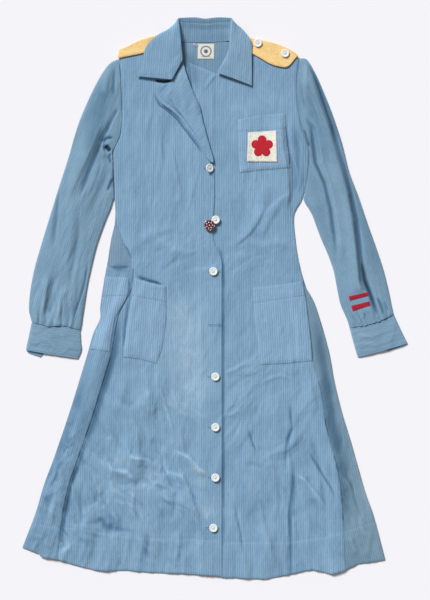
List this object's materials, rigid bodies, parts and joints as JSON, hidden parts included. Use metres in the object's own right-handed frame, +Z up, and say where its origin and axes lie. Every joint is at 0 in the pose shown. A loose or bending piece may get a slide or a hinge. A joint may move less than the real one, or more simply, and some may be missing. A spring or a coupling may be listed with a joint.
{
  "type": "nurse uniform dress",
  "caption": "Long-sleeved blue cotton uniform dress with collar, lapel, buttoned front, shoulder straps and patch pockets, laid out flat on its back.",
  "frame": {"origin": "middle of the box around the dress, on the floor that it lies on", "axes": "+Y along the dress towards the collar, +X towards the wearer's left side, +Z up out of the front"},
  "size_m": [0.77, 1.1196, 0.0157],
  "materials": {
    "blue_cloth": "woven cotton with a fine stripe",
    "blue_inside": "woven cotton with a fine stripe",
    "gold_cloth": "plain woven cotton",
    "white_cloth": "plain woven cotton",
    "red_cloth": "felt and braid",
    "button_white": "satin",
    "badge_metal": "enamelled"
  },
  "bodies": {
    "root": {"back_bodice": "blue_inside", "back_skirt": "blue_cloth", "front_right": "blue_cloth", "front_left": "blue_cloth", "gore_right": "blue_cloth", "gore_left": "blue_cloth", "lapel_right": "blue_cloth", "collar": "blue_cloth", "sleeve_right": "blue_cloth", "sleeve_left": "blue_cloth", "cuff_right": "blue_cloth", "cuff_left": "blue_cloth", "pocket_chest": "blue_cloth", "pocket_hip_right": "blue_cloth", "pocket_hip_right_side": "blue_cloth", "pocket_hip_left": "blue_cloth", "strap_right": "gold_cloth", "strap_left": "gold_cloth", "chest_patch": "white_cloth", "chest_flower": "red_cloth", "neck_label": "white_cloth", "sleeve_bar_upper": "red_cloth", "sleeve_bar_lower": "red_cloth", "badge": "badge_metal", "button_1": "button_white", "button_2": "button_white", "button_3": "button_white", "button_4": "button_white", "button_5": "button_white", "button_6": "button_white", "button_7": "button_white", "strap_button_outer": "button_white", "strap_button_inner": "button_white"}
  },
  "joints": []
}
